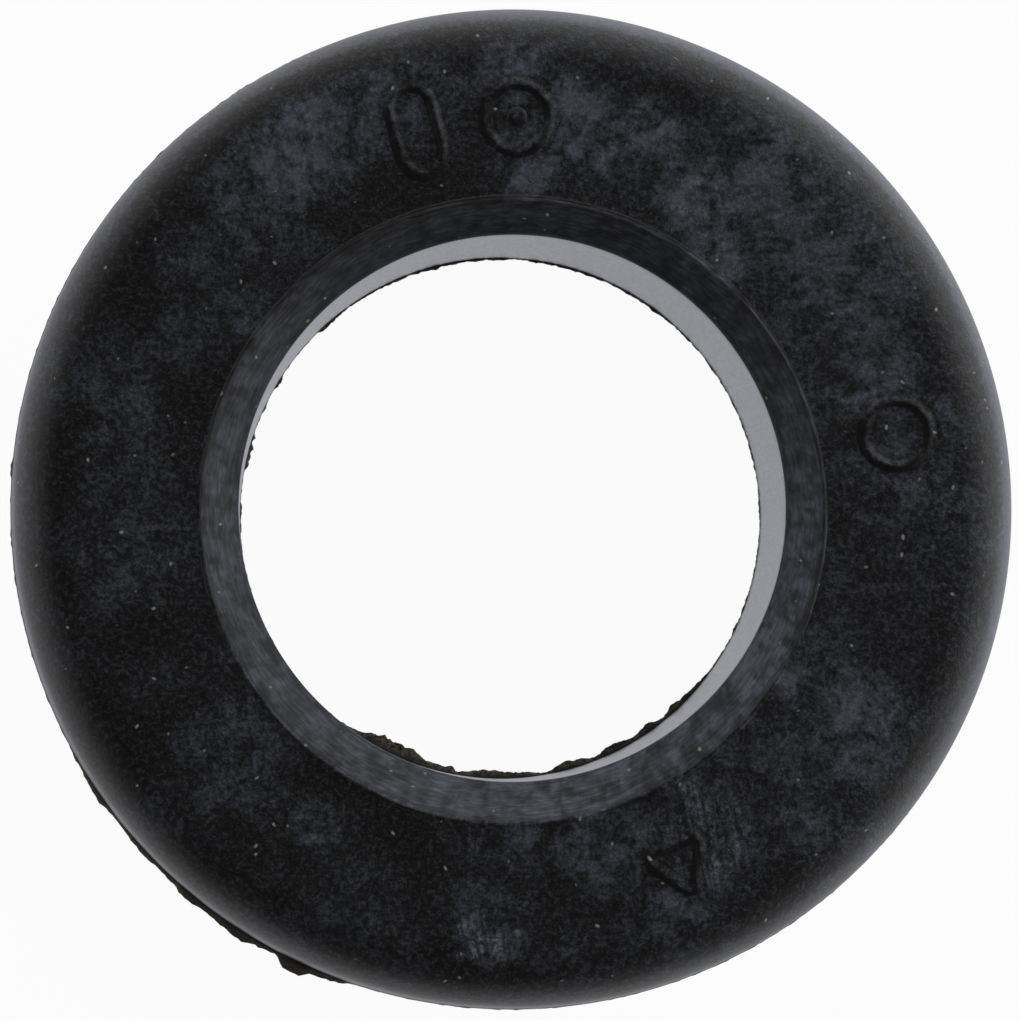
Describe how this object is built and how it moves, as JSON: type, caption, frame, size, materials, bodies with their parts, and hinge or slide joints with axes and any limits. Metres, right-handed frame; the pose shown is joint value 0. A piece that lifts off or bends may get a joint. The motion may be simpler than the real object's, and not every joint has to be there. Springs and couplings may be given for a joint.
{
  "type": "rubber grommet",
  "caption": "Push-in rubber grommet with a rounded top flange, a panel groove, a tapered snap-in bead and a straight through bore.",
  "frame": {"origin": "centre of the bore in the plane of the lower end, which the grommet stands on", "axes": "+Z along the bore from the lower end up to the flange, +X to the right and +Y up as the flange's face is seen in the picture"},
  "size_m": [0.0352, 0.0352, 0.0133],
  "materials": {
    "rubber": "matte black with a faint grey bloom"
  },
  "bodies": {
    "root": {"grommet": "rubber"}
  },
  "joints": []
}
